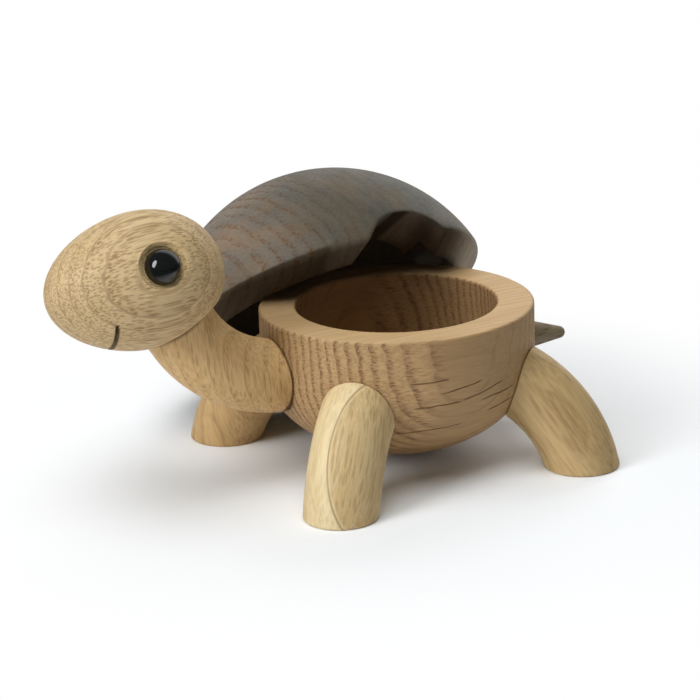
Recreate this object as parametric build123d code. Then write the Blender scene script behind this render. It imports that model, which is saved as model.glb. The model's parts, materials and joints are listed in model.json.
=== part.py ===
from build123d import *
import os
from math import asin, cos, degrees, pi, radians, sin, sqrt, tan

# A turtle figurine in oak: a bowl on four bent legs, a bent neck with a turning head,
# and a hollow shell that comes off. Millimetres and degrees, +Z up, table at z = 0,
# origin under the bowl's axis, the turtle faces -Y and its left side is +X.

# Bowl, turned from one block
bowl_radius = 36.0
rim_height = 41.2
wall_height = 14.3  # upright part of the outside, below the rim
table_gap = 1.9  # lowest point of the bowl above the table
bowl_wall = 9.7
bowl_floor = 10.3
well_corner = 9.0
rim_rounding = 0.8

# Legs and neck, bent from one round stock
limb_radius = 9.6
limb_sink = 6.0  # how far inside the bowl's side each limb's middle line starts
leg_azimuth = 45.0
leg_root_height = 23.3
leg_root_slope = 22.9
foot_reach = 13.5  # foot centre outside the bowl's side
foot_rounding = 0.6
joint_rounding = 0.4
neck_root_height = 27.1
neck_root_run = 2.0
neck_bend_radius = 33.0
neck_rise = 60.0
neck_end_run = 4.6

# Head, an egg turned on its long axis and cut flat where it sits on the neck
head_half_length = 23.1
head_radius = 17.1
egg_share = 0.106  # how much slimmer the nose end is than the middle
head_pitch = 4.9
head_seat_depth = 14.0  # flat seat from the egg's centre
head_forward = 3.2  # egg's centre in front of the neck's end, along the seat
mouth_reach = 10.5
mouth_kerf = 1.0
mouth_depth = 1.8
mouth_end_angle = 20.0

# Eyes, round-faced beads on shanks in countersunk seats
eye_radius = 4.6
eye_back = 3.1
eye_elevation = 25.7
eye_seat_depth = 2.4  # flat of the seat below the egg's surface
eye_margin = 0.2
eye_flare = 45.0
eye_shank_radius = 1.6
eye_shank_length = 7.0

# Tail, a round-nosed cone with its own tenon
tail_length = 15.1
tail_tip_radius = 1.65
tail_taper = 12.2
tail_dip = 6.4
tail_height = 25.9
tenon_radius = 2.2

# Shell, a hollow dome with an undercut brim and an arch for the neck
shell_height = 37.7
shell_sink = 9.3  # centre of the dome's curve below the brim's edge
shell_crown = 9.0
shell_play = 0.7  # room between the recess and the bowl's rim
shell_seat = 7.7  # width of the ledge that rests on the rim
shell_seat_height = 2.0
shell_lead = 1.0  # the recess opens by this much towards its lip
shell_lead_height = 2.0
shell_lip_drop = 2.7
shell_brim = 8.8
shell_rounding = 2.0
arch_radius = 15.2
arch_drop = 8.4
arch_azimuth = 10.2

# Shell taken off and leant on the bowl
lean_tilt = 38.8
lean_turn = 3.3
lean_bearing = 1.9  # of the shell's middle from the bowl's axis
lean_gap = 0.3
table_clearance = 0.2

# Dowels and fits
dowel_radius = 3.0
leg_dowel_length = 16.0
neck_dowel_length = 18.0
pivot_radius = 4.0
pivot_in_neck = 11.0
pivot_in_head = 12.0
glue_line = 0.1
dowel_fit = 0.05
pivot_clearance = 0.08
swivel_gap = 0.3
end_gap = 0.4
overrun = 10.0

bottom_up = (Align.CENTER, Align.CENTER, Align.MIN)
top_down = (Align.CENTER, Align.CENTER, Align.MAX)


def turned(*edges):
    """A solid of revolution about Z; the edges are drawn as (radius, height)."""
    return revolve(Plane.XZ * make_face(edges), Axis.Z)


def round_pin(line, radius, length, start=0):
    """A cylinder along the z axis of the plane called line."""
    return line * Pos(0, 0, start) * Cylinder(radius, length, align=bottom_up)


def point_on(angle, radius):
    """A point on a circle in the plane of a limb."""
    return radius * cos(radians(angle)), radius * sin(radians(angle))


def facing(angle):
    """A unit direction in a limb's own upright plane, angle above level."""
    return cos(radians(angle)), 0, sin(radians(angle))


# Sizes that follow from those above
well_radius = bowl_radius - bowl_wall
well_depth = rim_height - table_gap - bowl_floor
limb_root = bowl_radius - limb_sink
foot_radius = bowl_radius + foot_reach
recess_radius = bowl_radius + shell_play
lip_radius = recess_radius + shell_lead
shell_radius = lip_radius + shell_brim
shell_hollow_radius = recess_radius - shell_seat

# Lines that the pieces share, drawn as if each limb pointed along +X
forward = Rot(0, 0, -90)
backward = Rot(0, 0, 90)
leg_line = Plane(origin=(limb_root, 0, leg_root_height), z_dir=facing(-leg_root_slope))
neck_line = Plane(origin=(limb_root, 0, neck_root_height), z_dir=facing(0))
tail_line = Plane(origin=(bowl_radius, 0, tail_height), z_dir=facing(-tail_dip))

bend_start = limb_root + neck_root_run
bend_end = (
    bend_start + neck_bend_radius * sin(radians(neck_rise)),
    neck_root_height + neck_bend_radius * (1 - cos(radians(neck_rise))),
)
rise = facing(neck_rise)
fall = facing(neck_rise - 90)
neck_end = (bend_end[0] + neck_end_run * rise[0], bend_end[1] + neck_end_run * rise[2])
pivot_line = Plane(origin=(neck_end[0], 0, neck_end[1]), z_dir=rise)
pivot_length = pivot_in_neck + pivot_in_head
head_centre = (
    neck_end[0] + head_seat_depth * rise[0] + head_forward * fall[0],
    neck_end[1] + head_seat_depth * rise[2] + head_forward * fall[2],
)
# In the egg's own frame the nose is +Z, the top is -X and the turtle's left is +Y
head_place = forward * Pos(head_centre[0], 0, head_centre[1]) * Rot(0, 90 + head_pitch, 0)
leg_azimuths = {
    "front_left": -leg_azimuth,
    "rear_left": leg_azimuth,
    "rear_right": 180 - leg_azimuth,
    "front_right": leg_azimuth - 180,
}


def bowl_outside(extra=0):
    """The bowl's outer form as a full solid, grown by extra."""
    shoulder = rim_height - wall_height
    bottom = shoulder - table_gap + extra
    side = bowl_radius + extra
    belly = EllipticalCenterArc((0, shoulder), side, bottom, start_angle=-90, arc_size=90)
    return turned(
        belly,
        Line((side, shoulder), (side, rim_height)),
        Line((side, rim_height), (0, rim_height)),
        Line((0, rim_height), (0, shoulder - bottom)),
    )


def bowl():
    """The turned bowl with its well and the sockets for dowels and tail."""
    well = Pos(0, 0, rim_height - well_depth) * Cylinder(well_radius, well_depth + overrun, align=bottom_up)
    well = fillet(well.edges().group_by(Axis.Z)[0], well_corner)
    body = bowl_outside() - well
    body = fillet(body.edges().group_by(Axis.Z)[-1], rim_rounding)
    hole = dowel_radius + dowel_fit
    for azimuth in leg_azimuths.values():
        body -= Rot(0, 0, azimuth) * round_pin(leg_line, hole, leg_dowel_length, -end_gap)
    body -= forward * round_pin(neck_line, hole, neck_dowel_length, -end_gap)
    socket = tenon_radius + dowel_fit
    return body - backward * round_pin(tail_line, socket, limb_sink + overrun, -limb_sink - end_gap)


def limb(line, path):
    """Round stock bent along a path that starts on line, cut to fit the bowl."""
    stock = sweep(line * Circle(limb_radius), path=Plane.XZ * Wire(path)) - bowl_outside(glue_line)
    saddle = stock.faces().sort_by_distance(line.origin)[0]
    return fillet(saddle.outer_wire().edges(), joint_rounding)


def rounded_seat(body):
    """Rounds the edge of the flat where head and neck meet."""
    seat = body.faces().sort_by_distance(pivot_line.origin)[0]
    return fillet(seat.outer_wire().edges(), joint_rounding)


def leg():
    """One bent leg, sawn off level at the foot."""
    root = (limb_root, leg_root_height)
    slope = point_on(-leg_root_slope, overrun)
    bend = TangentArc(root, (foot_radius, 0), tangent=slope)
    run_out = Line(bend @ 1, (bend @ 1) + (bend % 1) * overrun)
    table = Pos(foot_radius, 0, 0) * Box(4 * limb_radius, 4 * limb_radius, 2 * overrun, align=top_down)
    stock = limb(leg_line, [bend, run_out]) - table
    stock = fillet(stock.edges().group_by(Axis.Z)[0], foot_rounding)
    return stock - round_pin(leg_line, dowel_radius + dowel_fit, leg_dowel_length + end_gap)


def neck():
    """The bent neck, square at its upper end, bored for both dowels."""
    root = (limb_root, neck_root_height)
    bend = JernArc((bend_start, neck_root_height), (1, 0), neck_bend_radius, neck_rise)
    path = [Line(root, bend @ 0), bend, Line(bend @ 1, neck_end)]
    stock = limb(neck_line, path)
    stock = rounded_seat(stock)
    stock -= round_pin(neck_line, dowel_radius + dowel_fit, neck_dowel_length + end_gap)
    deep = pivot_in_neck + end_gap
    return forward * (stock - round_pin(pivot_line, pivot_radius + dowel_fit, deep + overrun, -deep))


def egg_radius(height):
    """Radius of the egg at a height along its axis, from its centre to the nose."""
    along = height / head_half_length
    return head_radius * sqrt(1 - along**2) * (1 - egg_share * along)


def egg():
    """The plain egg of the head, nose up."""
    steps = 10
    heights = [head_half_length * cos(pi * step / steps) for step in range(1, steps)]
    nose, back = (0, head_half_length), (0, -head_half_length)
    outline = Spline(nose, *[(egg_radius(z), z) for z in heights], back)
    return turned(outline, Line(back, nose))


def eye_plane(side):
    """The seat of one eye in the egg's frame, facing outwards; side is +1 on the left."""
    out = (-sin(radians(eye_elevation)), side * cos(radians(eye_elevation)))
    seat = egg_radius(-eye_back) - eye_seat_depth
    return Plane(origin=(seat * out[0], seat * out[1], -eye_back), z_dir=(out[0], out[1], 0))


def mouth_cut():
    """A saw kerf round the underside of the snout."""
    snout = egg_radius(mouth_reach)
    ring = Cylinder(head_radius, mouth_kerf) - Cylinder(snout - mouth_depth, mouth_kerf)
    ends = snout * sin(radians(mouth_end_angle))
    below = Pos(ends, 0, 0) * Box(
        head_radius, 2 * head_radius, mouth_kerf, align=(Align.MIN, Align.CENTER, Align.CENTER)
    )
    return Pos(0, 0, mouth_reach) * (ring & below)


def head():
    """The egg with its mouth, eye seats, flat neck seat and pivot bore."""
    body = egg() - mouth_cut()
    for side in (1, -1):
        seat = eye_plane(side)
        rim = eye_radius + eye_margin
        body -= seat * Cone(rim, rim + overrun * tan(radians(eye_flare)), overrun, align=bottom_up)
        bore = eye_shank_length + end_gap
        body -= round_pin(seat, eye_shank_radius + dowel_fit, bore + overrun, -bore)
    body = backward * (head_place * body)
    below = Box(4 * head_radius, 4 * head_radius, head_radius, align=top_down)
    body -= pivot_line * Pos(0, 0, swivel_gap) * below
    bore = pivot_in_head + end_gap
    return forward * (body - round_pin(pivot_line, pivot_radius + pivot_clearance, bore + overrun, -overrun))


def eye(side):
    """A half-round bead with a shank behind it."""
    top = (0, eye_radius)
    bead = turned(
        CenterArc((0, 0), eye_radius, start_angle=0, arc_size=90),
        Line((eye_radius, 0), (eye_shank_radius, 0)),
        Line((eye_shank_radius, 0), (eye_shank_radius, -eye_shank_length)),
        Line((eye_shank_radius, -eye_shank_length), (0, -eye_shank_length)),
        Line((0, -eye_shank_length), top),
    )
    return head_place * (eye_plane(side) * bead)


def tail():
    """A round-nosed cone whose tenon sits in the back of the bowl."""
    touch = point_on(tail_taper, tail_tip_radius)
    tip_centre = tail_length - tail_tip_radius
    nose_start = (touch[0], tip_centre + touch[1])
    nose_mid = point_on((90 + tail_taper) / 2, tail_tip_radius)
    base = nose_start[0] + (nose_start[1] + limb_sink) * tan(radians(tail_taper))
    cone = turned(
        Line((0, -limb_sink), (base, -limb_sink)),
        Line((base, -limb_sink), nose_start),
        ThreePointArc(nose_start, (nose_mid[0], tip_centre + nose_mid[1]), (0, tail_length)),
        Line((0, tail_length), (0, -limb_sink)),
    )
    tenon = round_pin(tail_line, tenon_radius, limb_sink + tail_length / 2, -limb_sink)
    return backward * (tail_line * cone - bowl_outside(glue_line) + tenon)


def dome(radius, rise, base, start=0):
    """A quarter oval over (0, base) as a smooth curve, from the angle start up to the crown."""
    steps = 8
    angles = [radians(start + (90 - start) * step / steps) for step in range(steps + 1)]
    return Spline([(radius * cos(a), base + rise * sin(a)) for a in angles])


def shell():
    """The hollow shell, brim down, before it is leant on the bowl."""
    dome_rise = shell_height + shell_sink
    dome_radius = shell_radius / cos(asin(shell_sink / dome_rise))
    ceiling = shell_height - shell_crown
    brim_angle = degrees(asin((shell_sink + shell_rounding) / dome_rise))
    outside = dome(dome_radius, dome_rise, -shell_sink, brim_angle)
    inside = dome(shell_hollow_radius, ceiling - shell_seat_height, shell_seat_height)
    lip = (lip_radius, -shell_lip_drop)
    bevel = Line(lip, (shell_radius, 0))
    bevel_end = bevel @ (1 - shell_rounding / bevel.length)
    corners = [
        (shell_hollow_radius, shell_seat_height),
        (recess_radius, shell_seat_height),
        (recess_radius, shell_lead_height - shell_lip_drop),
        lip,
        bevel_end,
    ]
    brim = TangentArc(outside @ 0, bevel_end, tangent=(outside % 0) * -1)
    body = turned(outside, inside, Polyline(corners), brim, Line((0, ceiling), (0, shell_height)))
    across = Plane(origin=(0, 0, -arch_drop), z_dir=(1, 0, 0))
    arch = Rot(0, 0, arch_azimuth) * round_pin(across, arch_radius, shell_radius + overrun)
    return backward * body - arch


def leaning_shell(leant_on):
    """The shell as it stands: far edge on the table, near side over the rim of the bowl it is leant on."""
    tilted = Rot(0, 0, lean_turn) * Rot(0, -lean_tilt, 0) * shell()
    tilted = Pos(0, 0, table_clearance - tilted.bounding_box().min.Z) * tilted
    out = point_on(180 + lean_bearing, 1)
    # slid towards the bowl until only lean_gap is left
    clear, blocked = bowl_radius + 2 * shell_radius, 0
    for _ in range(12):
        halfway = (clear + blocked) / 2
        if leant_on.distance_to(Pos(halfway * out[0], halfway * out[1], 0) * tilted) > lean_gap:
            clear = halfway
        else:
            blocked = halfway
    return Pos(clear * out[0], clear * out[1], 0) * tilted


def leg_dowels():
    """The four glued dowels between bowl and legs."""
    pin = round_pin(leg_line, dowel_radius, leg_dowel_length)
    return Compound([Rot(0, 0, azimuth) * pin for azimuth in leg_azimuths.values()])


turned_bowl = bowl()
nodes = {
    "bowl": turned_bowl,
    "shell": leaning_shell(turned_bowl),
    "neck": neck(),
    "head": head(),
    "eye_left": eye(1),
    "eye_right": eye(-1),
    "tail": tail(),
    "leg_dowels": leg_dowels(),
    "neck_dowel": forward * round_pin(neck_line, dowel_radius, neck_dowel_length),
    "head_pivot": forward * round_pin(pivot_line, pivot_radius, pivot_length, -pivot_in_neck),
}
bent_leg = leg()
for corner, azimuth in leg_azimuths.items():
    nodes[f"leg_{corner}"] = Rot(0, 0, azimuth) * bent_leg

os.makedirs("parts", exist_ok=True)
for name, solid in nodes.items():
    export_step(solid, f"parts/{name}.step")
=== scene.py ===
# %% [markdown]
# # An oak turtle with its shell off
# The figurine is a turned bowl on bent legs, with an egg for a head and a hollow shell that is the lid.
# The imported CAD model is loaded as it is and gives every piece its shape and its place. This script gives
# the pieces their looks, oak with rings, pores and streaks and glossy black eyes, and sets them on a
# white table under soft lamps.

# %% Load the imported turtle
import json

import bmesh
import bpy
from mathutils import Color, Matrix, Vector


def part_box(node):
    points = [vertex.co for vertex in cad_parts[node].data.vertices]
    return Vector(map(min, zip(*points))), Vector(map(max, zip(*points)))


MM = 0.001
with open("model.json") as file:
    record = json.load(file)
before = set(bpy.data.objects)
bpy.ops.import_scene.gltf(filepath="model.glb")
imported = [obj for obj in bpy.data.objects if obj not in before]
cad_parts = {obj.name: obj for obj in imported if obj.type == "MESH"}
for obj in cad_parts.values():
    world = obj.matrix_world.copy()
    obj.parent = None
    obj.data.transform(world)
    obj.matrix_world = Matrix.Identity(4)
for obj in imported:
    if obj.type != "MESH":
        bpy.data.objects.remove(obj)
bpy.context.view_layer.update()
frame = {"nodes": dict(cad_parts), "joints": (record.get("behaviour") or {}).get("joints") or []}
turtle = frame["nodes"]
print("pieces:", sorted(turtle))

# %% [markdown]
# ## The camera
# The photograph looks at the turtle's left side from a little in front and above, with a long lens. A
# camera could be aimed by eye with a track-to constraint. This one was fitted to the bowl's rim, the four
# feet and the head, so its place and its directions are given outright.

# %% Place the camera
CAMERA_PLACE = Vector((0.55594, -0.28621, 0.22987))
CAMERA_RIGHT = Vector((0.4491, 0.8929, -0.0327))
CAMERA_UP = Vector((-0.2603, 0.1658, 0.9512))
SENSOR_WIDTH = 36
LENS = 128.57

scene = bpy.context.scene
scene.view_settings.view_transform = "Standard"
camera_data = bpy.data.cameras.new("camera")
camera_data.sensor_width = SENSOR_WIDTH
camera_data.lens = LENS
camera = bpy.data.objects.new("camera", camera_data)
scene.collection.objects.link(camera)
scene.camera = camera
camera_turn = Matrix((CAMERA_RIGHT, CAMERA_UP, CAMERA_RIGHT.cross(CAMERA_UP))).transposed()
camera.matrix_world = Matrix.Translation(CAMERA_PLACE) @ camera_turn.to_4x4()
print("camera", round(CAMERA_PLACE.length, 3), "m from the origin")

# %% [markdown]
# ## Nodes in plain words
# A finish is a net of shader nodes. In the editor each node is placed and joined by hand. Here one helper
# adds a node and joins its inputs, and the others give the common nodes short names, so that a finish
# reads like a recipe. Many recipes use masks: numbers that are 1 where something holds, 0 where it
# doesn't, and smooth between. A pair of numbers called an edge says where a mask starts and where it is
# full.


# %% Add a node
def join(tree, value, socket):
    """Joins another node's output to a socket, or sets the socket to a plain value."""
    if isinstance(value, bpy.types.NodeSocket):
        tree.links.new(value, socket)
    else:
        socket.default_value = value


def wire(tree, kind, inputs, output=0, **settings):
    """Adds a node, sets or joins its inputs and returns one of its outputs."""
    made = tree.nodes.new(kind)
    for name, value in settings.items():
        setattr(made, name, value)
    for key, value in inputs.items():
        join(tree, value, made.inputs[key])
    return made.outputs[output]


print("node helpers: join, wire")


# %% Sums and ramps
def sums(tree, operation, first, second=0.0, third=0.0):
    """One step of arithmetic on numbers."""
    return wire(tree, "ShaderNodeMath", {0: first, 1: second, 2: third}, operation=operation)


def times(tree, first, second):
    """A number times another; for masks, where both hold."""
    return sums(tree, "MULTIPLY", first, second)


def larger(tree, first, second):
    """The larger of two numbers; for masks, where either holds."""
    return sums(tree, "MAXIMUM", first, second)


def scaled(tree, value, factor, offset):
    """A number times a factor, plus an offset."""
    return sums(tree, "MULTIPLY_ADD", value, factor, offset)


def apart(tree, first, second):
    """How far apart two numbers are."""
    return sums(tree, "ABSOLUTE", sums(tree, "SUBTRACT", first, second))


def ramp(tree, value, low, high):
    """A mask: 0 up to low, 1 from high on and smooth between; low may be the larger."""
    inputs = {"Value": value, "From Min": low, "From Max": high}
    return wire(tree, "ShaderNodeMapRange", inputs, interpolation_type="SMOOTHSTEP")


print("number helpers: sums, times, larger, scaled, apart, ramp")

# %% Places and directions
METRES_TO_MM = (1 / MM, 1 / MM, 1 / MM)


def vectors(tree, operation, first, second=(0, 0, 0), output=0):
    """One step of arithmetic on vectors."""
    return wire(tree, "ShaderNodeVectorMath", {0: first, 1: second}, output, operation=operation)


def dot(tree, vector, direction):
    """How far a vector reaches along a direction."""
    return vectors(tree, "DOT_PRODUCT", vector, direction, "Value")


def length(tree, vector):
    """How long a vector is."""
    return vectors(tree, "LENGTH", vector, output="Value")


def place(tree):
    """Where a point lies at rest, in millimetres from the origin of the frame."""
    metres = tree.nodes.new("ShaderNodeTexCoord").outputs["Object"]
    return vectors(tree, "MULTIPLY", metres, METRES_TO_MM)


def facing(tree):
    """The way the surface faces."""
    return tree.nodes.new("ShaderNodeTexCoord").outputs["Normal"]


print("vector helpers: vectors, dot, length, place, facing")

# %% [markdown]
# ## Colours
# Colours are given as a screen shows them, in numbers that are not in step with light. Blender mixes
# light, so each is turned into linear numbers first; a reader can still hold the numbers against a
# picture. A tint is a colour to multiply by. PLAIN changes nothing, and a tint may be above 1 where
# painted light or a painted sheen makes a part paler than the rest of its piece.

# %% Screen colours and mixtures
PLAIN = (1, 1, 1, 1)
SCREEN_WHITE = 255
FULLY = 1.0
MIX_AMOUNT = 0
MIX_FIRST = 6
MIX_SECOND = 7
MIX_RESULT = 2


def colour(red, green, blue):
    """A screen colour from 0 to 255 as the linear colour that Blender mixes with."""
    shown = Color((red, green, blue)) / SCREEN_WHITE
    return (*shown.from_srgb_to_scene_linear(), FULLY)


def blend_colour(tree, amount, first, second, how="MIX"):
    """The first colour where the amount is 0, mixed with the second up to 1."""
    inputs = {MIX_AMOUNT: amount, MIX_FIRST: first, MIX_SECOND: second}
    return wire(tree, "ShaderNodeMix", inputs, MIX_RESULT, data_type="RGBA", blend_type=how)


print("mid grey on the screen is", round(colour(128, 128, 128)[0], 3), "in light")

# %% [markdown]
# ## A block of oak
# Oak is one stuff seen from many sides, so one node group makes all of it as a solid block. Whatever
# surface is cut through the block then shows the right figure: ovals where a ring is grazed, dashes along
# the fibres, dots on the end grain. A flat picture of oak wrapped round a piece could not carry on round
# its edges. In the block x runs across the rings, y along them and z along the fibres, in millimetres.

# %% What a piece tells the block, and what it gets
OAK_INPUTS = {
    "Point": "Vector",
    "Pale": "Color",
    "Dark": "Color",
    "Pore": "Color",
    "Ring width": "Float",
    "Pith": "Float",
    "Waviness": "Float",
    "Ring depth": "Float",
    "Line depth": "Float",
    "Line whole": "Float",
    "Pore size": "Vector",
    "Pore depth": "Float",
    "Pore spread": "Float",
    "Streaks": "Float",
    "Rays": "Float",
    "Checks": "Float",
}
OAK_OUTPUTS = {"Colour": "Color", "Height": "Float", "Wear": "Float"}

oak = bpy.data.node_groups.new("oak_block", "ShaderNodeTree")
for name, kind in OAK_INPUTS.items():
    oak.interface.new_socket(name, in_out="INPUT", socket_type="NodeSocket" + kind)
for name, kind in OAK_OUTPUTS.items():
    oak.interface.new_socket(name, in_out="OUTPUT", socket_type="NodeSocket" + kind)
told = oak.nodes.new("NodeGroupInput").outputs
point = told["Point"]
print("the block is told", len(OAK_INPUTS), "things and gives", list(OAK_OUTPUTS))

# %% [markdown]
# ## Noise along the fibres
# Everything in wood is drawn out along the fibres. Blender's noise and cells are as long as they are
# wide, so the point is measured in steps of a size that is long in z, which stretches them.


# %% Stretched noise and cells
def stretched(tree, at, size):
    """A point measured in steps of a size, both in millimetres."""
    return vectors(tree, "DIVIDE", at, size)


def grain_noise(tree, at, size, detail=2.0, roughness=0.5):
    """Noise from 0 to 1 whose blobs measure size."""
    inputs = {"Vector": stretched(tree, at, size), "Scale": 1, "Detail": detail, "Roughness": roughness}
    return wire(tree, "ShaderNodeTexNoise", inputs)


def grain_cells(tree, at, size):
    """Distance to the middle of the nearest cell, as a share of a cell that measures size."""
    return wire(tree, "ShaderNodeTexVoronoi", {"Vector": stretched(tree, at, size), "Scale": 1}, feature="F1")


print("grain helpers: stretched, grain_noise, grain_cells")

# %% [markdown]
# ## Growth rings
# A ring is one year's growth: open early wood, then denser late wood, then a thin line where the next
# year starts. A wave texture would make rings too, all of them alike. Here the distance from the pith, in
# ring widths, counts the years, so that each year can have its own strength, and what is left over says
# how far the year has gone. A slow noise and a quick one bend the rings, as no tree grows quite round.

# %% Rings in the block
LEVEL = (1, 1, 0)
NOISE_MIDDLE = 0.5
MID_YEAR = 0.5
WAVE_SIZE = (26, 26, 110)
TREMOR_SIZE = (3.5, 3.5, 16)
TREMOR_SHARE = 0.2
EARLY_STARTS = (0.0, 0.06)
EARLY_ENDS = (0.58, 0.20)
LATE_STARTS = (0.74, 0.95)
LINE_EDGE = (0.28, 0.05)
BROKEN_SIZE = (3, 3, 11)
BROKEN_EDGE = (0.34, 0.56)

wave = sums(oak, "SUBTRACT", grain_noise(oak, point, WAVE_SIZE), NOISE_MIDDLE)
tremor = sums(oak, "SUBTRACT", grain_noise(oak, point, TREMOR_SIZE), NOISE_MIDDLE)
bend = times(oak, scaled(oak, tremor, TREMOR_SHARE, wave), told["Waviness"])
from_pith = wire(oak, "ShaderNodeCombineXYZ", {"X": told["Pith"]})
from_pith = length(oak, vectors(oak, "MULTIPLY", vectors(oak, "ADD", point, from_pith), LEVEL))
years = sums(oak, "DIVIDE", sums(oak, "ADD", from_pith, bend), told["Ring width"])
season = sums(oak, "FRACT", years)
good_year = wire(oak, "ShaderNodeTexWhiteNoise", {"W": sums(oak, "FLOOR", years)}, noise_dimensions="1D")
early = times(oak, ramp(oak, season, *EARLY_STARTS), ramp(oak, season, *EARLY_ENDS))
late = times(oak, ramp(oak, season, *LATE_STARTS), told["Line depth"])
to_line = sums(oak, "SUBTRACT", MID_YEAR, apart(oak, season, MID_YEAR))
line = ramp(oak, times(oak, to_line, told["Ring width"]), *LINE_EDGE)
unbroken = ramp(oak, grain_noise(oak, point, BROKEN_SIZE), *BROKEN_EDGE)
line = times(oak, times(oak, line, larger(oak, unbroken, told["Line whole"])), told["Line depth"])
print("nodes so far:", len(oak.nodes))

# %% [markdown]
# ## Pores, streaks and rays
# Oak's early wood is full of open pores, long tubes along the fibres. Noise would make soft clouds of
# them, but a pore has an edge, so they are cells drawn out in z, and a piece says how far they spread
# into the rest of a ring. Fine and broad streaks follow the fibres. Rays are pale flakes that stand
# across the rings.

# %% Pores, streaks and rays in the block
PORE_EDGE = (0.58, 0.24)
FINE_SIZE = (0.7, 0.7, 18)
FINE_DETAIL = 3.0
FINE_ROUGHNESS = 0.65
FINE_SHARE = 1.2
BROAD_SIZE = (5, 5, 60)
BROAD_SHARE = 0.8
RAY_SIZE = (5.0, 0.8, 2.2)
RAY_EDGE = (0.36, 0.16)

tubes = ramp(oak, grain_cells(oak, point, told["Pore size"]), *PORE_EDGE)
pores = times(oak, times(oak, tubes, larger(oak, early, told["Pore spread"])), told["Pore depth"])
fine = times(oak, grain_noise(oak, point, FINE_SIZE, FINE_DETAIL, FINE_ROUGHNESS), FINE_SHARE)
streak = scaled(oak, grain_noise(oak, point, BROAD_SIZE), BROAD_SHARE, fine)
streak_middle = (FINE_SHARE + BROAD_SHARE) * NOISE_MIDDLE
streak = times(oak, sums(oak, "SUBTRACT", streak, streak_middle), told["Streaks"])
rays = times(oak, ramp(oak, grain_cells(oak, point, RAY_SIZE), *RAY_EDGE), told["Rays"])
print("nodes so far:", len(oak.nodes))

# %% [markdown]
# ## What the block shows
# Early wood and streaks pull the pale colour towards the dark one, rays and late wood pull it back, and
# pores, ring lines and checks take the pore colour. Checks are hair cracks from drying, and only a piece
# knows where it has some. The same masks make the relief: marks are sunk and rough, and streaks stand a
# little proud. A bump is enough for that, since a pore is too shallow to change an outline.

# %% Colour, height and wear of the block
YEAR_SPREAD = 0.6
YEAR_LEAST = 0.5
EVEN_TINT = 0.28
RAY_STRENGTH = 0.5
MARK_SINK = -1.0
EARLY_SINK = -0.15
STREAK_RISE = 0.35
OILED_WEAR = 0.5
STREAK_WEAR = 0.2
MARK_WEAR = 0.25

darkness = times(oak, early, scaled(oak, good_year, YEAR_SPREAD, YEAR_LEAST))
darkness = scaled(oak, darkness, told["Ring depth"], sums(oak, "ADD", streak, EVEN_TINT))
wood = blend_colour(oak, darkness, told["Pale"], told["Dark"])
wood = blend_colour(oak, larger(oak, times(oak, rays, RAY_STRENGTH), late), wood, told["Pale"])
marks = larger(oak, larger(oak, pores, line), told["Checks"])
wood = blend_colour(oak, marks, wood, told["Pore"])
relief = scaled(oak, streak, STREAK_RISE, scaled(oak, marks, MARK_SINK, times(oak, early, EARLY_SINK)))
wear = scaled(oak, marks, MARK_WEAR, scaled(oak, streak, STREAK_WEAR, OILED_WEAR))
block_end = oak.nodes.new("NodeGroupOutput").inputs
for name, value in {"Colour": wood, "Height": relief, "Wear": wear}.items():
    oak.links.new(value, block_end[name])
print("oak block:", len(oak.nodes), "nodes")

# %% [markdown]
# ## Cutting a piece from the block
# A piece's finish says how the block lay when the piece was cut: which way the fibres run, which way the
# rings are crossed, and how far off the pith is. A Mapping node turns the piece's own coordinates to
# suit, so that each piece has its own stretch of wood. The real wood shines softly, as oiled wood does,
# and its pores show as small pits.

# %% A finish for one piece of oak
OAK_COLOURS = ("pale", "dark", "pore")
RELIEF_STRENGTH = 0.6
RELIEF_DEPTH = 0.4 * MM
OIL_GLOSS = 0.35


def oak_finish(name, fibre, across, centre, **figure):
    """An oiled oak material; fibre and across are directions, and sizes are in millimetres."""
    finish = bpy.data.materials.new(name)
    finish.use_nodes = True
    tree = finish.node_tree
    along = Vector(fibre).normalized()
    beside = along.cross(Vector(across)).normalized()
    turn = Matrix((beside.cross(along), beside, along))
    lie = {"Vector": tree.nodes.new("ShaderNodeTexCoord").outputs["Object"], "Scale": METRES_TO_MM}
    lie.update({"Location": -(turn @ Vector(centre)), "Rotation": turn.to_euler()})
    block = tree.nodes.new("ShaderNodeGroup")
    block.name = "oak"
    block.node_tree = oak
    tree.links.new(wire(tree, "ShaderNodeMapping", lie, vector_type="POINT"), block.inputs["Point"])
    for key, value in figure.items():
        socket = block.inputs[key.replace("_", " ").capitalize()]
        socket.default_value = colour(*value) if key in OAK_COLOURS else value
    felt = {"Strength": RELIEF_STRENGTH, "Distance": RELIEF_DEPTH, "Height": block.outputs["Height"]}
    shader = tree.nodes["Principled BSDF"].inputs
    tree.links.new(wire(tree, "ShaderNodeBump", felt), shader["Normal"])
    tree.links.new(block.outputs["Colour"], shader["Base Color"])
    tree.links.new(block.outputs["Wear"], shader["Roughness"])
    shader["Specular IOR Level"].default_value = OIL_GLOSS
    return finish


print("oak relief:", RELIEF_DEPTH / MM, "mm")


# %% Changes to a finish
def block_point(finish):
    """The point in the block from which a piece's surface is cut."""
    return finish.node_tree.nodes["oak"].inputs["Point"].links[0].from_socket


def tone(finish, tint):
    """Multiplies the colour of a piece's oak by a tint."""
    tree = finish.node_tree
    toned = blend_colour(tree, FULLY, tree.nodes["oak"].outputs["Colour"], tint, "MULTIPLY")
    tree.links.new(toned, tree.nodes["Principled BSDF"].inputs["Base Color"])


def weaken(finish, figure, mask):
    """Keeps one figure of a piece's oak only where a mask holds."""
    socket = finish.node_tree.nodes["oak"].inputs[figure]
    finish.node_tree.links.new(times(finish.node_tree, mask, socket.default_value), socket)


def dress(piece, finish):
    """Gives a CAD piece its finish."""
    turtle[piece].data.materials.clear()
    turtle[piece].data.materials.append(finish)
    print(piece, "is made of", finish.name)


print("finish helpers: block_point, tone, weaken, dress")

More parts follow.
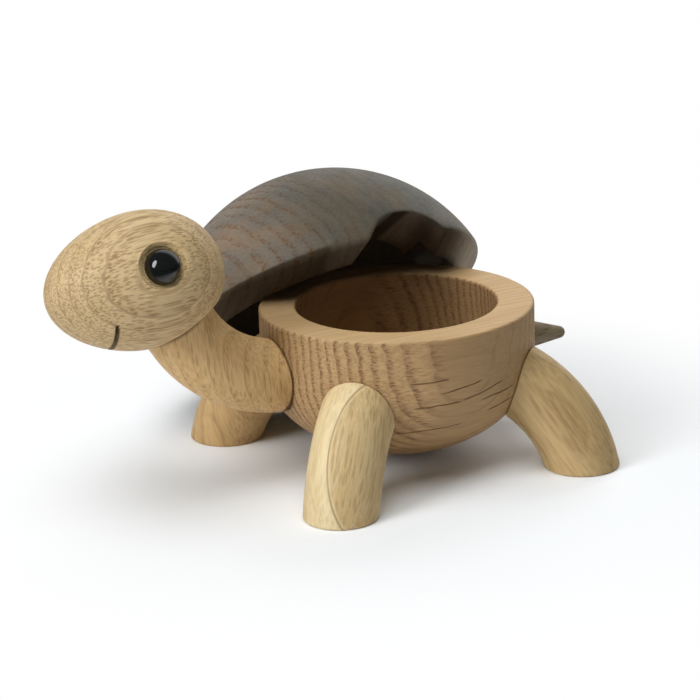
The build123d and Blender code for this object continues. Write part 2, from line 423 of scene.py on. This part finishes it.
# %% [markdown]
# ## The bowl
# The bowl was turned from one block whose fibres run from head to tail. Its rings stand upright and cross
# its front, so the front is end grain with its pores in rows. The rows could be painted on; cut from the
# block, they run down the front and into the well by themselves.

# %% Oak on the bowl
bowl_finish = oak_finish(
    "oak_bowl",
    fibre=(0, 1, 0),
    across=(1, 0, 0.06),
    centre=(0, 0, 20),
    pale=(200, 167, 119),
    dark=(150, 114, 77),
    pore=(102, 70, 44),
    ring_width=2.3,
    pith=170,
    waviness=5,
    ring_depth=0.5,
    line_depth=0.2,
    pore_size=(0.8, 0.45, 10),
    pore_depth=0.62,
    pore_spread=0.4,
    streaks=0.6,
    rays=0.2,
)
dress("bowl", bowl_finish)

# %% [markdown]
# ## Rows, rim and well of the bowl
# The sides follow the fibres, so there the rows fade out, and painted shade makes the sides a little
# darker. On the rim most of the pores are filled, and a painted sheen makes the rim paler; in the well
# painted shade makes the wood darker. The mesh could be split into areas with a finish each, but then the
# borders would be hard. Instead the way the surface faces tells the front from the sides and the rim, and
# the distance from the bowl's axis tells the well from the outside.

# %% Rows on the front and the back
FRONT_ROWS = (-0.08, -0.32)
BACK_ROWS = (0.5, 0.8)
# The first lies past straight up, so that a little of the rows stays on the rim
RIM_FILLED_AND_SHEEN = (1.2, 0.5)
UP = (0, 0, 1)
TAILWARDS = (0, 1, 0)

bowl_tree = bowl_finish.node_tree
lengthwise = dot(bowl_tree, facing(bowl_tree), TAILWARDS)
rows = larger(bowl_tree, ramp(bowl_tree, lengthwise, *FRONT_ROWS), ramp(bowl_tree, lengthwise, *BACK_ROWS))
# On the rim the same mask fills the pores and gives the rim its painted sheen
unfilled_unsheened = ramp(bowl_tree, dot(bowl_tree, facing(bowl_tree), UP), *RIM_FILLED_AND_SHEEN)
open_rows = times(bowl_tree, rows, unfilled_unsheened)
for figure in ("Ring depth", "Pore depth"):
    weaken(bowl_finish, figure, open_rows)
print("bowl finish:", len(bowl_tree.nodes), "nodes")

# %% Painted shade on the sides and in the well, painted sheen on the rim
WELL_EDGE = (26.7, 26.2)
# Painted shade on the sides, painted sheen on the rim, painted shade in the well
SIDE_PAINTED_SHADE = colour(230, 228, 226)
RIM_PAINTED_SHEEN = (1.18, 1.23, 1.3, 1)
WELL_PAINTED_SHADE = (0.73, 0.69, 0.68, 1)

from_axis = length(bowl_tree, vectors(bowl_tree, "MULTIPLY", place(bowl_tree), LEVEL))
in_well = ramp(bowl_tree, from_axis, *WELL_EDGE)
bowl_painted_light = blend_colour(bowl_tree, rows, SIDE_PAINTED_SHADE, PLAIN)
bowl_painted_light = blend_colour(bowl_tree, unfilled_unsheened, RIM_PAINTED_SHEEN, bowl_painted_light)
tone(bowl_finish, blend_colour(bowl_tree, in_well, bowl_painted_light, WELL_PAINTED_SHADE))
print("the well is toned within", WELL_EDGE[0], "mm of the axis")

# %% [markdown]
# ## Checks in the bowl
# Drying has opened a few hair cracks along the fibres of the bowl's side. Noise could scatter them
# anywhere, but seven long ones stand out in the photograph, so each is a short line of its own: where its
# middle is towards the tail, how far it reaches each way, how high it lies and how much it climbs. A
# little noise keeps it from being ruled. The far side, which the photograph hides, gets the same ones.

# %% Checks on the bowl's sides
CHECKS = (
    {"middle": -9.0, "reach": 5.5, "height": 30.8, "slope": 0.05},
    {"middle": -0.5, "reach": 6.5, "height": 27.9, "slope": 0.15},
    {"middle": -7.0, "reach": 7.0, "height": 24.3, "slope": 0.05},
    {"middle": 6.0, "reach": 7.0, "height": 24.4, "slope": 0.21},
    {"middle": 11.0, "reach": 6.5, "height": 23.1, "slope": 0.07},
    {"middle": 12.5, "reach": 5.0, "height": 18.6, "slope": 0.13},
    {"middle": -8.0, "reach": 10.0, "height": 17.4, "slope": 0.08},
)
CHECK_EDGE = (0.24, 0.08)
CHECK_TIP_SHARE = 0.7
CHECK_DEPTH = 0.85
RAGGED_SIZE = (2, 2, 6)
RAGGED_HEIGHT = 0.8

bowl_place = place(bowl_tree)
towards_tail = dot(bowl_tree, bowl_place, TAILWARDS)
ragged = grain_noise(bowl_tree, block_point(bowl_finish), RAGGED_SIZE)
ragged = scaled(bowl_tree, ragged, RAGGED_HEIGHT, -RAGGED_HEIGHT * NOISE_MIDDLE)
checks = 0.0
for check in CHECKS:
    above = sums(bowl_tree, "ADD", dot(bowl_tree, bowl_place, (0, -check["slope"], 1)), ragged)
    crack = ramp(bowl_tree, apart(bowl_tree, above, check["height"]), *CHECK_EDGE)
    from_middle = apart(bowl_tree, towards_tail, check["middle"])
    ended = ramp(bowl_tree, from_middle, check["reach"], CHECK_TIP_SHARE * check["reach"])
    checks = larger(bowl_tree, checks, times(bowl_tree, crack, ended))
outside_only = scaled(bowl_tree, in_well, -CHECK_DEPTH, CHECK_DEPTH)
bowl_tree.links.new(times(bowl_tree, checks, outside_only), bowl_tree.nodes["oak"].inputs["Checks"])
print("checks in the bowl:", len(CHECKS))

# %% [markdown]
# ## The head
# The egg was turned from a blank whose rings face the eye, so they are grazed there and show as ovals
# round it. Its fibres run along the egg: the nose is end grain, all dots, and the cheeks show dashes. The
# ovals could be drawn, but then the other side and the top would need their own; the block gives them
# all.

# %% Oak on the head
EGG_AXIS = (0, -0.996, -0.085)

head_finish = oak_finish(
    "oak_head",
    fibre=EGG_AXIS,
    across=(0.9, 0, 0.434),
    centre=(0, -72.6, 58.1),
    pale=(218, 193, 148),
    dark=(180, 148, 102),
    pore=(122, 90, 50),
    ring_width=2.8,
    pith=90,
    waviness=4,
    ring_depth=0.15,
    line_depth=0.5,
    line_whole=0.6,
    pore_size=(0.5, 0.5, 11),
    pore_depth=0.6,
    pore_spread=0.75,
    streaks=0.8,
    rays=0.25,
)
dress("head", head_finish)

# %% [markdown]
# ## Eye seats and mouth
# Each eye sits in a countersunk seat in the shade of its bead, and painted light makes the seat paler than
# the egg. The mouth is a saw cut across the chin, darkened in and around the cut with painted shade. Both
# are real shapes in the CAD model. They could be split off to have finishes of their own; here each only
# gets its own tone, by its distance from the eye's middle and from the plane of the saw, and the grain
# runs on through it.

# %% Painted light in the eye seats, painted shade in the mouth
EYE_MIDDLE = Vector((13.32, -70.11, 64.76))
SEAT_EDGE = (7.6, 5.4)
# Painted light in the eye seats, which lie in the shade of the beads
SEAT_PAINTED_LIGHT = (1.4, 1.4, 1.35, 1)
SAW_PLACE = 77.91
SAW_EDGE = (0.75, 0.45)
CHIN_AXIS = (0, 0.085, -0.996)
CUT_TOP = (-58.4, -57.8)
# Painted shade in and around the mouth's saw cut
MOUTH_PAINTED_SHADE = (0.5, 0.48, 0.48, 1)

head_tree = head_finish.node_tree
head_place = place(head_tree)
mirrored = Vector((-EYE_MIDDLE.x, EYE_MIDDLE.y, EYE_MIDDLE.z))
seat_light_masks = [
    ramp(head_tree, length(head_tree, vectors(head_tree, "SUBTRACT", head_place, eye)), *SEAT_EDGE)
    for eye in (EYE_MIDDLE, mirrored)
]
seat_light = blend_colour(head_tree, larger(head_tree, *seat_light_masks), PLAIN, SEAT_PAINTED_LIGHT)
from_saw = apart(head_tree, dot(head_tree, head_place, EGG_AXIS), SAW_PLACE)
on_chin = ramp(head_tree, dot(head_tree, head_place, CHIN_AXIS), *CUT_TOP)
mouth_shade = times(head_tree, ramp(head_tree, from_saw, *SAW_EDGE), on_chin)
tone(head_finish, blend_colour(head_tree, mouth_shade, seat_light, MOUTH_PAINTED_SHADE))
print("eye seats toned:", len(seat_light_masks))

# %% [markdown]
# ## The neck
# The neck was sawn from a straight board and then rounded. Grain that bends along with it would make it a
# branch, so its streaks run straight up while it bends. At the seams with the head and with the bowl,
# painted shade darkens the wood in the last millimetre or two. The head's seat is where its joint turns,
# and the frame knows that.

# %% Oak on the neck
neck_finish = oak_finish(
    "oak_neck",
    fibre=(0, -0.1, 1),
    across=(0.5, 0.86, 0),
    centre=(0, -50, 30),
    pale=(228, 193, 138),
    dark=(182, 144, 90),
    pore=(136, 102, 60),
    ring_width=3.4,
    pith=40,
    waviness=4,
    ring_depth=0.15,
    line_depth=0.3,
    pore_size=(0.9, 0.9, 7),
    pore_depth=0.4,
    pore_spread=0.5,
    streaks=0.8,
    rays=0.6,
)
dress("neck", neck_finish)

# %% Painted shade at the seams at both ends of the neck
# Painted shade at the seams, where the neck meets the head and the bowl
HEAD_SEAM_SHADE = (-2.2, -0.6)
BOWL_SEAM_SHADE = (37.0, 36.1)
SEAM_PAINTED_SHADE = colour(120, 96, 70)

head_turn = next(joint for joint in frame["joints"] if joint["name"] == "head_turn")
head_seat = Vector(head_turn["pos_m"]) / MM
neck_tree = neck_finish.node_tree
neck_place = place(neck_tree)
from_head = dot(neck_tree, vectors(neck_tree, "SUBTRACT", neck_place, head_seat), head_turn["axis"])
from_bowl = length(neck_tree, vectors(neck_tree, "MULTIPLY", neck_place, LEVEL))
seam_shade = larger(neck_tree, ramp(neck_tree, from_head, *HEAD_SEAM_SHADE), ramp(neck_tree, from_bowl, *BOWL_SEAM_SHADE))
tone(neck_finish, blend_colour(neck_tree, seam_shade, PLAIN, SEAM_PAINTED_SHADE))
print("the head sits at", [round(x, 2) for x in head_seat], "mm")

# %% [markdown]
# ## The legs
# Like the neck, each leg comes from a straight board, and no two boards have the same colour. The fibres
# lean outward on their way down, but in the front right leg the photograph shows them leaning inward. One
# dark vein crosses the front left leg: a single ring's edge. It could be drawn as a line on the surface;
# as part of the block it follows the round of the leg. That leg therefore has very wide rings, one edge
# of which lies in the vein's plane, worked out from the photograph.

# %% Oak on the legs
LEG_COLOURS = {
    "leg_front_left": {"pale": (232, 214, 170), "dark": (198, 170, 120), "pore": (138, 108, 66)},
    "leg_rear_left": {"pale": (208, 180, 130), "dark": (160, 130, 82), "pore": (120, 92, 54)},
    "leg_front_right": {"pale": (210, 176, 124), "dark": (170, 136, 86), "pore": (124, 94, 56)},
    "leg_rear_right": {"pale": (208, 178, 128), "dark": (166, 134, 86), "pore": (122, 92, 54)},
}
LEG_GRAIN = {"pore_size": (0.9, 0.9, 8), "pore_depth": 0.3, "pore_spread": 0.5, "streaks": 0.9, "rays": 0.4}
PLAIN_RINGS = {"ring_width": 4.2, "pith": 55, "waviness": 4, "ring_depth": 0.25, "line_depth": 0.2}
VEIN_RING = {
    "ring_width": 13.5,
    "pith": 108,
    "waviness": 0.4,
    "ring_depth": 0.6,
    "line_depth": 0.6,
    "line_whole": 1,
}
VEINED_LEG = "leg_front_left"
VEIN_ACROSS = (0.9275, 0.0124, 0.3736)
VEIN_PLACE = (35.6, -35.15, 16.5)
INWARD_LEG = "leg_front_right"
INWARD_LEAN = -0.35
OUTWARD_LEAN = 0.75
RING_TURN = 0.5

for leg, colours in LEG_COLOURS.items():
    low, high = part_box(leg)
    middle = (low + high) / 2
    outward = Vector((middle.x, middle.y, 0)).normalized()
    veined = leg == VEINED_LEG
    lean = INWARD_LEAN if leg == INWARD_LEG else OUTWARD_LEAN
    leg_finish = oak_finish(
        "oak_" + leg,
        fibre=lean * outward - Vector(UP),
        across=VEIN_ACROSS if veined else outward.cross(Vector(UP)) + RING_TURN * outward,
        centre=VEIN_PLACE if veined else middle / MM,
        **colours,
        **(VEIN_RING if veined else PLAIN_RINGS),
        **LEG_GRAIN,
    )
    dress(leg, leg_finish)

# %% [markdown]
# ## Tail and dowels
# The tail is from smoked oak, like the shell, and has its own darker colours. The dowels are hidden in
# their bores until a joint is pulled apart. Each could have its own fibres, but one plain finish does for
# all of them.

# %% Oak on the tail
tail_finish = oak_finish(
    "oak_tail",
    fibre=(0, 1, -0.1),
    across=(0.7, 0, 0.7),
    centre=(0, 45, 25),
    pale=(142, 128, 102),
    dark=(114, 100, 74),
    pore=(80, 66, 46),
    ring_width=2.6,
    pith=60,
    waviness=3,
    ring_depth=0.3,
    line_depth=0.3,
    pore_size=(0.8, 0.8, 7),
    pore_depth=0.5,
    pore_spread=0.2,
    streaks=0.5,
    rays=0.2,
)
dress("tail", tail_finish)

# %% Oak on the dowels
dowel_finish = oak_finish(
    "oak_dowel",
    fibre=(0, 0.1, 1),
    across=(1, 0, 0),
    centre=(0, 0, 0),
    pale=(224, 198, 154),
    dark=(190, 158, 110),
    pore=(140, 108, 68),
    ring_width=2.0,
    pith=30,
    waviness=2,
    ring_depth=0.3,
    line_depth=0.2,
    pore_size=(0.7, 0.7, 6),
    pore_depth=0.4,
    pore_spread=0.2,
    streaks=0.5,
    rays=0.2,
)
for dowel in ("leg_dowels", "neck_dowel", "head_pivot"):
    dress(dowel, dowel_finish)

# %% [markdown]
# ## The shell
# Smoke turns oak grey-brown, and its pores rusty. The shell's fibres run up its lean, towards the arch
# for the neck. In its block x runs sideways, from the turtle's head towards its tail, y rises from the
# brim to the top of the dome, and z goes up the lean. A second node group for smoked oak could do no more
# than other colours do, so the same block serves.

# %% Smoked oak on the shell
SHELL_UPHILL = Vector((0.7780, 0.0449, 0.6266))
SHELL_SIDEWAYS = Vector((-0.0576, 0.9983, 0))
SHELL_MIDDLE = (-41.58, -1.38, 28.75)

shell_finish = oak_finish(
    "smoked_oak",
    fibre=SHELL_UPHILL,
    across=SHELL_SIDEWAYS,
    centre=SHELL_MIDDLE,
    pale=(130, 120, 107),
    dark=(94, 86, 76),
    pore=(122, 86, 56),
    ring_width=3.4,
    pith=120,
    waviness=6,
    ring_depth=0.15,
    line_depth=0.05,
    pore_size=(0.8, 0.8, 6),
    pore_depth=0.8,
    pore_spread=0.06,
    streaks=1.0,
    rays=0.2,
)
dress("shell", shell_finish)

# %% [markdown]
# ## Outside of the shell
# The end by the turtle's head is brown with clear rows of pores. Painted shade makes the middle darker, and
# a painted sheen makes the end by the tail paler and greyer. Soft clouds of uneven smoke, some bluish and
# some rusty, go over all of it. Tones like these could be painted on the mesh; ramps across the block give
# them without a brush.

# %% Tones of the shell's outside: painted shade, painted sheen and clouds
ACROSS_RINGS = (1, 0, 0)
PORES_SHOWN = (5, -25)
# Painted shade over the middle, painted sheen at the tail's end; the clouds are the wood's own tone
HEAD_END = (-8, -34)
TAIL_END = (22, 40)
MIDDLE_PAINTED_SHADE = colour(188, 192, 185)
TAIL_END_PAINTED_SHEEN = (1.44, 1.48, 1.42, 1)
CLOUD_SIZE = (11, 11, 26)
CLOUD_DETAIL = 3.0
CLOUD_EDGE = (0.3, 0.7)
CLOUDED = (0.84, 0.92, 1.0, 1)
RUSTY = (1.14, 1.0, 0.86, 1)

shell_tree = shell_finish.node_tree
shell_point = block_point(shell_finish)
sideways = dot(shell_tree, shell_point, ACROSS_RINGS)
weaken(shell_finish, "Pore depth", ramp(shell_tree, sideways, *PORES_SHOWN))
clouds_shade_and_sheen = blend_colour(shell_tree, ramp(shell_tree, sideways, *TAIL_END), MIDDLE_PAINTED_SHADE, TAIL_END_PAINTED_SHEEN)
clouds_shade_and_sheen = blend_colour(shell_tree, ramp(shell_tree, sideways, *HEAD_END), clouds_shade_and_sheen, PLAIN)
cloud = ramp(shell_tree, grain_noise(shell_tree, shell_point, CLOUD_SIZE, CLOUD_DETAIL), *CLOUD_EDGE)
cloud_tint = blend_colour(shell_tree, cloud, CLOUDED, RUSTY)
clouds_shade_and_sheen = blend_colour(shell_tree, FULLY, clouds_shade_and_sheen, cloud_tint, "MULTIPLY")
print("the shell's tones change over", TAIL_END[1] - HEAD_END[1], "mm")

# %% [markdown]
# ## Inside and underside of the shell
# The hollow and the brim's underside are raw brown wood, dull as if never polished, made deep and dark
# with painted shade: less shade in the arch, the most in the flat recess that sits on the bowl's rim, and a
# painted sheen at the tail's end of the brim. Faces could be picked one by one for this. Instead a point
# counts as inside when it lies below the dome, which is the upper part of a slightly flat ball, and as
# underside when it faces down from the dome.

# %% Where the shell is hollow or faces down
DOME_SIZE = (47.44, 47.0, 47.44)
DOME_SINK = (0, 9.3, 0)
INSIDE_EDGE = (0.982, 0.965)
UNDERSIDE_EDGE = (0.05, -0.3)

from_dome_middle = vectors(shell_tree, "ADD", shell_point, DOME_SINK)
dome_reach = length(shell_tree, stretched(shell_tree, from_dome_middle, DOME_SIZE))
outwards = dot(shell_tree, facing(shell_tree), SHELL_UPHILL.cross(SHELL_SIDEWAYS))
inside = ramp(shell_tree, dome_reach, *INSIDE_EDGE)
dull_and_shaded = larger(shell_tree, inside, ramp(shell_tree, outwards, *UNDERSIDE_EDGE))
print("inside starts", round((1 - INSIDE_EDGE[0]) * DOME_SIZE[0], 2), "mm below the dome")

# %% Brown and painted shade in the hollow, arch and recess, painted sheen on the brim
ALONG_FIBRES = (0, 0, 1)
ARCH_SIDE = (17, 13)
ARCH_FOOT = (24, 32)
RECESS_FACES = (-0.97, -0.995)
BRIM_END = (22, 38)
BRIM_EDGE = (0.8, 0.86)
# Raw brown darkened with painted shade inside and under the shell; painted sheen at the brim's end
HOLLOW_BROWN_AND_SHADE = colour(158, 148, 132)
ARCH_BROWN_AND_SHADE = colour(216, 212, 204)
RECESS_BROWN_AND_SHADE = colour(112, 104, 90)
BRIM_END_PAINTED_SHEEN = (2.0, 2.1, 2.15, 1)

uphill = dot(shell_tree, shell_point, ALONG_FIBRES)
in_arch = ramp(shell_tree, sums(shell_tree, "ABSOLUTE", sideways), *ARCH_SIDE)
in_arch = times(shell_tree, in_arch, ramp(shell_tree, uphill, *ARCH_FOOT))
brim_end_sheen = times(shell_tree, ramp(shell_tree, sideways, *BRIM_END), ramp(shell_tree, dome_reach, *BRIM_EDGE))
brown_and_shade = blend_colour(shell_tree, in_arch, HOLLOW_BROWN_AND_SHADE, ARCH_BROWN_AND_SHADE)
brown_and_shade = blend_colour(shell_tree, brim_end_sheen, brown_and_shade, BRIM_END_PAINTED_SHEEN)
brown_and_shade = blend_colour(shell_tree, ramp(shell_tree, outwards, *RECESS_FACES), brown_and_shade, RECESS_BROWN_AND_SHADE)
# Painted shade and sheen take the place of the smoked tones inside and under the shell
tone(shell_finish, blend_colour(shell_tree, dull_and_shaded, clouds_shade_and_sheen, brown_and_shade))
shell_wear = larger(shell_tree, shell_tree.nodes["oak"].outputs["Wear"], dull_and_shaded)
shell_tree.links.new(shell_wear, shell_tree.nodes["Principled BSDF"].inputs["Roughness"])
print("shell finish:", len(shell_tree.nodes), "nodes")

# %% [markdown]
# ## Sanded edges of the shell
# The edges of the brim and the arch look softened by sandpaper. The CAD model's edges stay as they are; a
# Bevel node rounds them in the shading alone, which is enough for so small a radius.

# %% Soft edges in the shading
SANDED_RADIUS = 1.6 * MM
SANDED_SAMPLES = 6

sanded = wire(shell_tree, "ShaderNodeBevel", {"Radius": SANDED_RADIUS}, samples=SANDED_SAMPLES)
shell_tree.links.new(sanded, shell_tree.nodes["Bump"].inputs["Normal"])
print("shell edges look sanded to", SANDED_RADIUS / MM, "mm")

# %% [markdown]
# ## The eyes
# Each eye is a domed black bead. A glossy black bead has hardly a colour of its own: what shows in it is
# the lamp, the table and the room. A clean gloss would do; a trace of handling, too faint to see as such,
# keeps it from being perfect.

# %% Black gloss on the eyes
BEAD_BLACK = (0.005, 0.006, 0.006, 1)
BEAD_IOR = 1.65
HANDLED_SIZE = (1, 1, 1)
HANDLED_LEAST = 0.03
HANDLED_MOST = 0.08

eye_finish = bpy.data.materials.new("eye_black")
eye_finish.use_nodes = True
eye_tree = eye_finish.node_tree
eye_shader = eye_tree.nodes["Principled BSDF"].inputs
eye_shader["Base Color"].default_value = BEAD_BLACK
eye_shader["IOR"].default_value = BEAD_IOR
handled = {"Value": grain_noise(eye_tree, place(eye_tree), HANDLED_SIZE)}
handled.update({"To Min": HANDLED_LEAST, "To Max": HANDLED_MOST})
eye_tree.links.new(wire(eye_tree, "ShaderNodeMapRange", handled), eye_shader["Roughness"])
for eye in ("eye_left", "eye_right"):
    dress(eye, eye_finish)

# %% [markdown]
# ## The table
# The turtle stands on a white table with no end in sight. A wide sheet lit by the lamps would turn grey
# far off, so away from the turtle the camera sees plain white, and near it the table keeps its shadows.
# In reflections the table fades to dark instead, so that only a small pale patch of it shows in the eyes,
# as in the photograph.

# %% A wide sheet
TABLE_HALF_WIDTH = 4

table_mesh = bpy.data.meshes.new("table")
sheet = bmesh.new()
bmesh.ops.create_grid(sheet, x_segments=1, y_segments=1, size=TABLE_HALF_WIDTH)
sheet.to_mesh(table_mesh)
sheet.free()
table = bpy.data.objects.new("table", table_mesh)
scene.collection.objects.link(table)
print("table:", 2 * TABLE_HALF_WIDTH, "m wide")

# %% White that keeps its shadows near the turtle
WHITE_EDGE = (50, 140)
REFLECTED_EDGE = (70, 170)
TABLE_WHITE = (0.9, 0.9, 0.9, 1)
TABLE_SEEN = (0.95, 0.98, 1.0, 1)
TABLE_DARK = (0.05, 0.05, 0.05, 1)

table_finish = bpy.data.materials.new("white_table")
table_finish.use_nodes = True
table_mesh.materials.append(table_finish)
table_tree = table_finish.node_tree
table_rays = table_tree.nodes.new("ShaderNodeLightPath").outputs
from_turtle = length(table_tree, place(table_tree))
far_off = times(table_tree, ramp(table_tree, from_turtle, *WHITE_EDGE), table_rays["Is Camera Ray"])
reflected = times(table_tree, ramp(table_tree, from_turtle, *REFLECTED_EDGE), table_rays["Is Glossy Ray"])
table_colour = blend_colour(table_tree, table_rays["Is Camera Ray"], TABLE_WHITE, TABLE_SEEN)
table_colour = blend_colour(table_tree, reflected, table_colour, TABLE_DARK)
paper = wire(table_tree, "ShaderNodeBsdfDiffuse", {"Color": table_colour})
plain_white = wire(table_tree, "ShaderNodeEmission", {"Color": PLAIN})
shown = wire(table_tree, "ShaderNodeMixShader", {0: far_off, 1: paper, 2: plain_white})
table_tree.links.new(shown, table_tree.nodes["Material Output"].inputs["Surface"])
print("the table is plain white from", WHITE_EDGE[1], "mm on")

# %% [markdown]
# ## The lamps
# The shadows in the photograph are soft, so the lamps are wide; small ones would make hard shadows. The
# key lamp stands in front of the turtle and is a tall oval, because that is the shape of the small light
# in its eye. A wide lamp overhead makes the rim the brightest part of the bowl, and one behind keeps the
# far sides from going black. The photograph shows neither of these two in the eye, so they are kept out
# of reflections.


# %% Soft oval lamps
def softbox(name, towards, distance, width, height, power, in_eyes):
    """A lamp with a flat oval face, turned to the turtle; sizes in metres, power in watts."""
    lamp_data = bpy.data.lights.new(name, "AREA")
    lamp_data.shape = "ELLIPSE"
    lamp_data.size = width
    lamp_data.size_y = height
    lamp_data.energy = power
    lamp = bpy.data.objects.new(name, lamp_data)
    scene.collection.objects.link(lamp)
    lamp.visible_glossy = in_eyes
    outward = Vector(towards).normalized()
    turned = outward.to_track_quat("Z", "Y").to_matrix().to_4x4()
    lamp.matrix_world = Matrix.Translation(outward * distance) @ turned
    print("lamp", name, "of", power, "W")


softbox("key", (0.14, -0.86, 0.5), distance=1.3, width=0.52, height=0.9, power=8.5, in_eyes=True)
softbox("overhead", (0.1, -0.2, 0.93), distance=1.3, width=1.3, height=1.3, power=11.0, in_eyes=False)
softbox("behind", (-0.6, 0.65, 0.45), distance=1.5, width=1.2, height=1.2, power=10.0, in_eyes=False)

# %% [markdown]
# ## The surroundings
# The camera sees a white room, but the room gives only a little light, or the turtle would lose its
# shadows. One wall of it, on the far side of the turtle, also shows white in reflections: it makes the
# thin bright crescent on the eye's edge. A lamp in its place would light the shell as well.

# %% A dim room with a white wall
ROOM_LIGHT = 0.08
ROOM_WHITE = 1.0
WALL_DIRECTION = (-0.75, 0.6, 0.28)
WALL_EDGE = (0.55, 0.9)

room = bpy.data.worlds.new("surroundings")
scene.world = room
room.use_nodes = True
room_tree = room.node_tree
room_shader = room_tree.nodes["Background"].inputs
room_shader["Color"].default_value = PLAIN
room_rays = room_tree.nodes.new("ShaderNodeLightPath").outputs
looking = room_tree.nodes.new("ShaderNodeTexCoord").outputs["Generated"]
wall = ramp(room_tree, dot(room_tree, looking, WALL_DIRECTION), *WALL_EDGE)
seen = larger(room_tree, room_rays["Is Camera Ray"], times(room_tree, wall, room_rays["Is Glossy Ray"]))
strength = {"Value": seen, "To Min": ROOM_LIGHT, "To Max": ROOM_WHITE}
room_tree.links.new(wire(room_tree, "ShaderNodeMapRange", strength), room_shader["Strength"])
print("room light:", ROOM_LIGHT)
